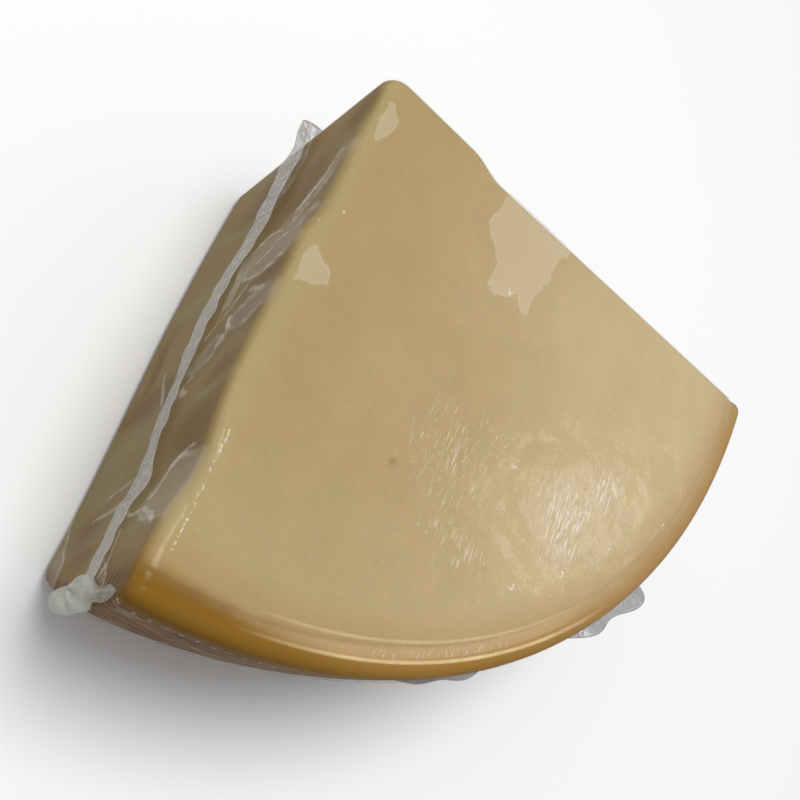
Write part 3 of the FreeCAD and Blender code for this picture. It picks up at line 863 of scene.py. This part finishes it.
def cheese_material():
    material, tree, output = new_material("hard cheese")
    at = wheel_place(tree)
    x, y, z = add(tree, "SeparateXYZ", {0: at}).outputs
    flat = stretched(tree, at, (1, 1, 0))
    radius = add(tree, "VectorMath", {0: flat}, operation="LENGTH").outputs["Value"]
    turn = times(tree, calc(tree, "ARCTAN2", y, x), 180 / math.pi)
    broad = speckle(tree, at, 55, 3)
    cloud = speckle(tree, stretched(tree, at, (1, 1, 1), (40, 10, 0)), 18, 3)
    grain = speckle(tree, at, 2.2, 4, 0.6)

    # the paste: creamier towards the right face, paler near the rind and along the left edge
    to_cream = calc(tree, "MULTIPLY_ADD", broad, 0.5, calc(tree, "DIVIDE", y, 180))
    paste = blend(tree, between(tree, to_cream, 0.25, 1.25), PASTE_OCHRE, PASTE_CREAM)
    pale = times(tree, between(tree, x, 120, 185), between(tree, y, 110, 30), 0.5)
    paste = blend(tree, pale, paste, PASTE_PALE)
    left_edge = times(tree, between(tree, y, 11, 6), between(tree, z, 99, 103), 0.45)
    paste = blend(tree, left_edge, paste, EDGE_PALE)
    mottle = calc(tree, "MULTIPLY_ADD", cloud, 0.18, 0.91)
    drawn = speckle(tree, stretched(tree, at, (0.35, 0.07, 0.2)), 1.0, 3, 0.6)
    fine = calc(tree, "MULTIPLY_ADD", drawn, 0.07, calc(tree, "MULTIPLY_ADD", grain, 0.15, 0.89))
    shade = times(tree, mottle, fine)
    brown_and_shade, amber, pale_spot = noted(tree, "stains_and_shade")
    uneven_by = calc(tree, "MULTIPLY_ADD", cloud, 0.8, 0.55)
    # brown stains, and painted shade on the left face
    paste = blend(tree, calc(tree, "MULTIPLY", brown_and_shade, uneven_by, clamp=True), paste, BROWN_AND_SHADE)
    paste = blend(tree, calc(tree, "MULTIPLY", amber, uneven_by, clamp=True), paste, AMBER)
    paste = blend(tree, times(tree, pale_spot, 0.6), paste, EDGE_PALE)
    grey = add(tree, "CombineColor", {0: shade, 1: shade, 2: shade}).outputs[0]
    paste = blend(tree, 1.0, paste, grey, "MULTIPLY")

    # the rind: gold at the left, tan at the right, browner lower on the heel and on the flat
    wobble = times(tree, calc(tree, "SUBTRACT", cloud, 0.5), 6)
    out = calc(tree, "ADD", radius, wobble)
    out = calc(tree, "MULTIPLY_ADD", between(tree, turn, 24, 3), 4.5, out)
    along_rim = calc(tree, "MULTIPLY_ADD", wobble, 2, turn)
    rind = blend(tree, between(tree, along_rim, 6, 30), RIND_GOLD, RIND_HONEY)
    rind = blend(tree, between(tree, along_rim, 32, 64), rind, RIND_TAN)
    low = between(tree, z, 101, 95)
    lengthwise = {0: times(tree, turn, 0.16), 1: times(tree, z, 0.5)}
    lengthwise = add(tree, "CombineXYZ", lengthwise).outputs[0]
    drawn_out = speckle(tree, lengthwise, 1.0, 4, 0.65, 0.4)
    rind_low = blend(tree, between(tree, drawn_out, 0.38, 0.64), RIND_BROWN, RIND_FAWN)
    rind = blend(tree, low, rind, rind_low)
    near_rind = times(tree, between(tree, out, 190, 208), 0.55)
    colour = blend(tree, near_rind, paste, RIND_TAN)
    colour = blend(tree, between(tree, out, 204, 211.5), colour, rind)
    # painted highlights: light lines along both edges of the sunk ring, and a paler pinkish sheen
    # between them
    inner = off(tree, radius, calc(tree, "MULTIPLY_ADD", turn, 0.075, 200.6))
    outer = off(tree, radius, calc(tree, "MULTIPLY_ADD", turn, 0.045, 208.2))
    inner = times(tree, between(tree, inner, 0.9, 0.1), 0.55)
    ring_highlight_lines = calc(tree, "MAXIMUM", inner, between(tree, outer, 1.0, 0.2))
    uneven_ring = calc(tree, "MULTIPLY_ADD", cloud, 1.1, 0.15, clamp=True)
    here = times(tree, between(tree, turn, 8, 20), between(tree, turn, 56, 42),
                 between(tree, z, 101, 104), uneven_ring)
    ring_sheen = between(tree, off(tree, radius, 206.6), 2.8, 1.2)
    colour = blend(tree, times(tree, ring_sheen, here, 0.55), colour, RING_SHEEN_PINK)
    colour = blend(tree, times(tree, ring_highlight_lines, here), colour, RING_HIGHLIGHT)

    # what is left of the rind on the heel below the cut, and on the flat
    below = calc(tree, "SUBTRACT", HEIGHT / MM, z)
    heel_in = calc(tree, "DIVIDE", times(tree, below, below), 2 * HEEL_BULGE / MM)
    heel_at = calc(tree, "SUBTRACT", RADIUS / MM, heel_in)
    into = calc(tree, "MULTIPLY_ADD", wobble, 0.3, calc(tree, "SUBTRACT", heel_at, radius))
    on_heel = times(tree, between(tree, into, 9, 2.5), between(tree, z, 105, 101))
    colour = blend(tree, on_heel, colour, rind)
    colour = blend(tree, between(tree, z, 4.5, 1.0), colour, RIND_FLAT)

    height = calc(tree, "MULTIPLY_ADD", grain, 0.35, cloud)
    shader = add(tree, "BsdfPrincipled", {
        "Base Color": colour, "Subsurface Weight": 0.12, "Subsurface Radius": (1.0, 0.6, 0.3),
        "Subsurface Scale": 0.004, "Specular IOR Level": 0.04,
        "Roughness": calc(tree, "MULTIPLY_ADD", cloud, 0.2, 0.42),
        "Normal": bumped(tree, height, 0.0006, 0.25)})
    tree.links.new(shader.outputs[0], output.inputs["Surface"])
    return material


cheese.data.materials.append(cheese_material())

# --------------------------------------
# The film
# --------------------------------------
FILM_MILK = tint(230, 222, 205)
FILM_GREY = tint(166, 163, 166)
FILM_DULL = tint(197, 198, 187)
FILM_WARM = tint(216, 211, 198)


def film_shader(tree, output, haze, normal, roughness, gloss, milk=FILM_MILK):
    """Clear film with a Fresnel gloss, milky where `haze` says; light passes through all of it."""
    clear = add(tree, "BsdfTransparent")
    shine = add(tree, "BsdfGlossy", {"Roughness": roughness, "Normal": normal})
    edge = add(tree, "Fresnel", {"IOR": 1.55, "Normal": normal})
    edge = times(tree, edge.outputs[0], gloss)
    glossy = add(tree, "MixShader", {0: edge, 1: clear.outputs[0], 2: shine.outputs[0]})
    milky = {"Base Color": milk, "Roughness": 0.3, "Normal": normal}
    milky = add(tree, "BsdfPrincipled", milky)
    both = add(tree, "MixShader", {0: haze, 1: glossy.outputs[0], 2: milky.outputs[0]})
    path = add(tree, "LightPath")
    thin = add(tree, "BsdfTransparent", {"Color": (0.93, 0.93, 0.93, 1)})
    passing = calc(tree, "MAXIMUM", path.outputs["Is Shadow Ray"], path.outputs["Is Diffuse Ray"])
    seen = add(tree, "MixShader", {0: passing, 1: both.outputs[0], 2: thin.outputs[0]})
    tree.links.new(seen.outputs[0], output.inputs["Surface"])


def skin_material():
    """The film on the cheese, with the places where it stands off or is folded, and painted
    highlights where it shines: glints and strokes of sheen over scratches.
    """
    material, tree, output = new_material("sucked film")
    at = wheel_place(tree)
    arc, level, web_edge = noted(tree, "lay")
    crease, loose, glint = noted(tree, "marks")
    web, gloss, heel = noted(tree, "state")
    scratch_sheen, sides, _ = noted(tree, "sheen_and_sides")
    height, grain = crinkle(tree, at, 5.0)

    ragged = calc(tree, "SUBTRACT", height, 0.5)
    in_crease = between(tree, calc(tree, "MULTIPLY_ADD", ragged, 2.6, crease), -0.5, 0.7)
    ragged_loose = calc(tree, "MULTIPLY_ADD", ragged, 4.0, loose)
    in_loose = between(tree, ragged_loose, -0.25, 0.25)
    rim_of_loose = between(tree, calc(tree, "ABSOLUTE", ragged_loose), 0.7, 0.1)
    web_here = times(tree, web, calc(tree, "MULTIPLY_ADD", height, 0.9, 0.45))
    web_rim = times(tree, web_edge, between(tree, height, 0.25, 0.55))
    # painted glints: sparse bright grains where the marks call for a shine
    sparkle = between(tree, calc(tree, "ADD", grain, glint), 1.27, 1.44)

    # partly scratch marks, partly painted sheen: short strokes, a little down to the right
    turned = {"Vector": at, "Rotation": (0, 0, math.radians(20)), "Scale": (0.17, 1.45, 0.5)}
    turned = add(tree, "Mapping", turned).outputs[0]
    strokes = speckle(tree, turned, 1.0, 3, 0.6, 0.3)
    sheen_strokes = between(tree, calc(tree, "MULTIPLY_ADD", scratch_sheen, 0.17, strokes), 0.63, 0.76)
    sheen_strokes = times(tree, sheen_strokes, scratch_sheen)

    # wrinkles along the heel
    unrolled = {0: times(tree, arc, 0.07), 1: level}
    unrolled = add(tree, "CombineXYZ", unrolled).outputs[0]
    wrinkle = speckle(tree, unrolled, 5.0, 4, 0.62, 0.8)
    line = between(tree, off(tree, wrinkle, 0.5), 0.028, 0.0)
    line = times(tree, line, heel, between(tree, level, 99, 95))
    # the short marks of the bag's weld, just below the rim
    dash = between(tree, calc(tree, "SINE", times(tree, arc, math.tau / 5.4)), 0.45, 0.8)
    dash = times(tree, dash, between(tree, off(tree, level, 97.5), 1.7, 0.8), heel,
                 between(tree, grain, 0.42, 0.56))

    haze = share_of(
        tree, (in_crease, 0.36), (in_loose, 0.19), (rim_of_loose, 0.09), (web_here, 0.16),
        (web_rim, 0.34), (sparkle, 0.7), (sheen_strokes, 0.85), (line, 0.30), (dash, 0.45),
        (sides, 0.02), (1.0, 0.01))

    dimples = speckle(tree, at, 15, 1)
    bumps = share_of(tree, (dimples, 0.35), (height, 0.10), (sheen_strokes, 0.05), (in_crease, 0.12),
                     (times(tree, wrinkle, heel), 0.3))
    film_shader(tree, output, haze, bumped(tree, bumps, 0.0016), 0.10, gloss)
    return material


def seam_material():
    """Two films welded: an even milky band, bubbles in a ladder near the apex with painted
    highlights on their rims, paler edges and sparse painted glints.
    """
    material, tree, output = new_material("welded seam")
    at = wheel_place(tree)
    along, across, bubbly = noted(tree, "weld")
    height, grain = crinkle(tree, at, 4.0)
    slant = calc(tree, "MULTIPLY_ADD", across, 2.4, along)
    slant = calc(tree, "MULTIPLY_ADD", height, 3.0, slant)
    rung = calc(tree, "SINE", times(tree, slant, math.tau / 4.6))
    from_middle = calc(tree, "ABSOLUTE", across)
    inner = between(tree, from_middle, 0.85, 0.55)
    hole = times(tree, between(tree, rung, 0.0, 0.5), inner, bubbly)
    # painted highlights along the rims of the bubbles
    bubble_highlight = times(tree, between(tree, calc(tree, "ABSOLUTE", rung), 0.22, 0.0), bubbly,
                 between(tree, grain, 0.5, 0.6))
    edge = between(tree, from_middle, 0.78, 0.95)
    drawn = {0: times(tree, along, 0.05), 1: times(tree, across, 3.0)}
    streak = speckle(tree, add(tree, "CombineXYZ", drawn).outputs[0], 1.0, 3, 0.6)
    line = between(tree, off(tree, streak, 0.5), 0.05, 0.0)
    haze = share_of(
        tree, (1.0, 0.27), (hole, -0.24), (bubble_highlight, 0.5), (edge, 0.30), (line, 0.26),
        (calc(tree, "SUBTRACT", height, 0.5), 0.7), (between(tree, grain, 0.68, 0.74), 0.5))
    bumps = share_of(
        tree, (height, 0.5), (times(tree, rung, bubbly), 0.16), (line, 0.1), (edge, 0.2))
    film_shader(tree, output, haze, bumped(tree, bumps, 0.0016), 0.14, 0.45, FILM_WARM)
    return material


def fold_material(name, milk, least, spread):
    """Crumpled loose film, milky throughout, with brighter creases and sparse painted glints."""
    material, tree, output = new_material(name)
    at = wheel_place(tree)
    height, grain = crinkle(tree, at, 12.0)
    fold = speckle(tree, stretched(tree, at, (1, 1, 0.6), (7, 3, 1)), 9.0, 2, 0.5, 1.0)
    line = between(tree, off(tree, fold, 0.5), 0.035, 0.0)
    # the sparse bright grains are painted glints
    haze = share_of(tree, (1.0, least), (height, spread), (line, 0.14),
                    (between(tree, grain, 0.7, 0.76), 0.1))
    bumps = share_of(tree, (height, 0.5), (line, 0.15))
    film_shader(tree, output, haze, bumped(tree, bumps, 0.0008), 0.14, 0.3, milk)
    return material


FILM_MATERIALS = {
    "film": skin_material(),
    "seam": seam_material(),
    "ear": fold_material("gathered film", FILM_DULL, 0.30, 0.46),
    "bag_end": fold_material("loose film", FILM_GREY, 0.34, 0.46),
}
for piece_name, film_material in FILM_MATERIALS.items():
    bpy.data.objects[piece_name].data.materials.append(film_material)

# --------------------------------------
# Camera, floor and light
# --------------------------------------
CAMERA_PLACE = Vector((0.3007, -0.0901, 0.3914))  # from the foot of the wheel's axis
CAMERA_RIGHT = Vector((-0.33972, 0.73774, 0.58339))
CAMERA_BACK = Vector((0.36019, -0.47094, 0.80528))
SKY_GLOW = 0.42  # the world's strength for all but the camera, which sees it white


def place_camera():
    lens = bpy.data.cameras.new("camera")
    lens.sensor_width = 36.0
    lens.lens = 48.98
    lens.shift_x = 0.0238
    lens.shift_y = 0.25
    camera = bpy.data.objects.new("camera", lens)
    axes = Matrix((CAMERA_RIGHT, CAMERA_BACK.cross(CAMERA_RIGHT), CAMERA_BACK))
    camera.matrix_world = Matrix.Translation(AXIS + CAMERA_PLACE) @ axes.transposed().to_4x4()
    bpy.context.scene.collection.objects.link(camera)
    bpy.context.scene.camera = camera


def put_light(name, where, at, size, power):
    lamp = bpy.data.lights.new(name, "AREA")
    lamp.shape = "DISK"
    lamp.size = size
    lamp.energy = power
    light = bpy.data.objects.new(name, lamp)
    where, at = Vector(where), Vector(at)
    light.location = where
    light.rotation_euler = (where - at).to_track_quat("Z", "Y").to_euler()
    bpy.context.scene.collection.objects.link(light)


def put_world():
    world = bpy.data.worlds.new("world")
    world.use_nodes = True
    tree = world.node_tree
    sky = tree.nodes["Background"]
    sky.inputs["Color"].default_value = (1, 1, 1, 1)
    direct = add(tree, "LightPath").outputs["Is Camera Ray"]
    strength = calc(tree, "MULTIPLY_ADD", direct, 1 - SKY_GLOW, SKY_GLOW)
    tree.links.new(strength, sky.inputs["Strength"])
    bpy.context.scene.world = world


place_camera()
put_light("ceiling", (-0.15, -0.15, 1.6), (0, 0, 0.1), 0.85, 16)
put_light("sheen", (-0.77, 0.90, 1.2), (0, 0, 0.1), 0.20, 0.2)
put_light("side", (0.15, -1.25, 0.50), (0, 0, 0.05), 0.6, 0.5)
put_world()
bpy.context.scene.view_settings.view_transform = "Standard"


def floor_material():
    """White to the camera, with the shadow; darker to the light that bounces back up."""
    material, tree, output = new_material("pale floor")
    path = add(tree, "LightPath")
    seen = calc(tree, "MAXIMUM", path.outputs["Is Camera Ray"], path.outputs["Is Glossy Ray"])
    seen = calc(tree, "MAXIMUM", seen, path.outputs["Is Transmission Ray"])
    colour = blend(tree, seen, (0.25, 0.25, 0.25, 1), (0.98, 0.98, 0.98, 1))
    shader = add(tree, "BsdfDiffuse", {"Color": colour})
    place = add(tree, "TexCoord").outputs["Object"]
    far = add(tree, "VectorMath", {0: place}, operation="LENGTH").outputs["Value"]
    far = times(tree, between(tree, far, 0.35, 0.95), path.outputs["Is Camera Ray"])
    white = add(tree, "Emission", {"Strength": 1.0})
    both = add(tree, "MixShader", {0: far, 1: shader.outputs[0], 2: white.outputs[0]})
    tree.links.new(both.outputs[0], output.inputs["Surface"])
    return material


def lay_floor():
    bm = bmesh.new()
    bmesh.ops.create_grid(bm, x_segments=1, y_segments=1, size=4.0)
    mesh = bpy.data.meshes.new("floor")
    bm.to_mesh(mesh)
    bm.free()
    mesh.materials.append(floor_material())
    floor = bpy.data.objects.new("floor", mesh)
    bpy.context.scene.collection.objects.link(floor)


lay_floor()
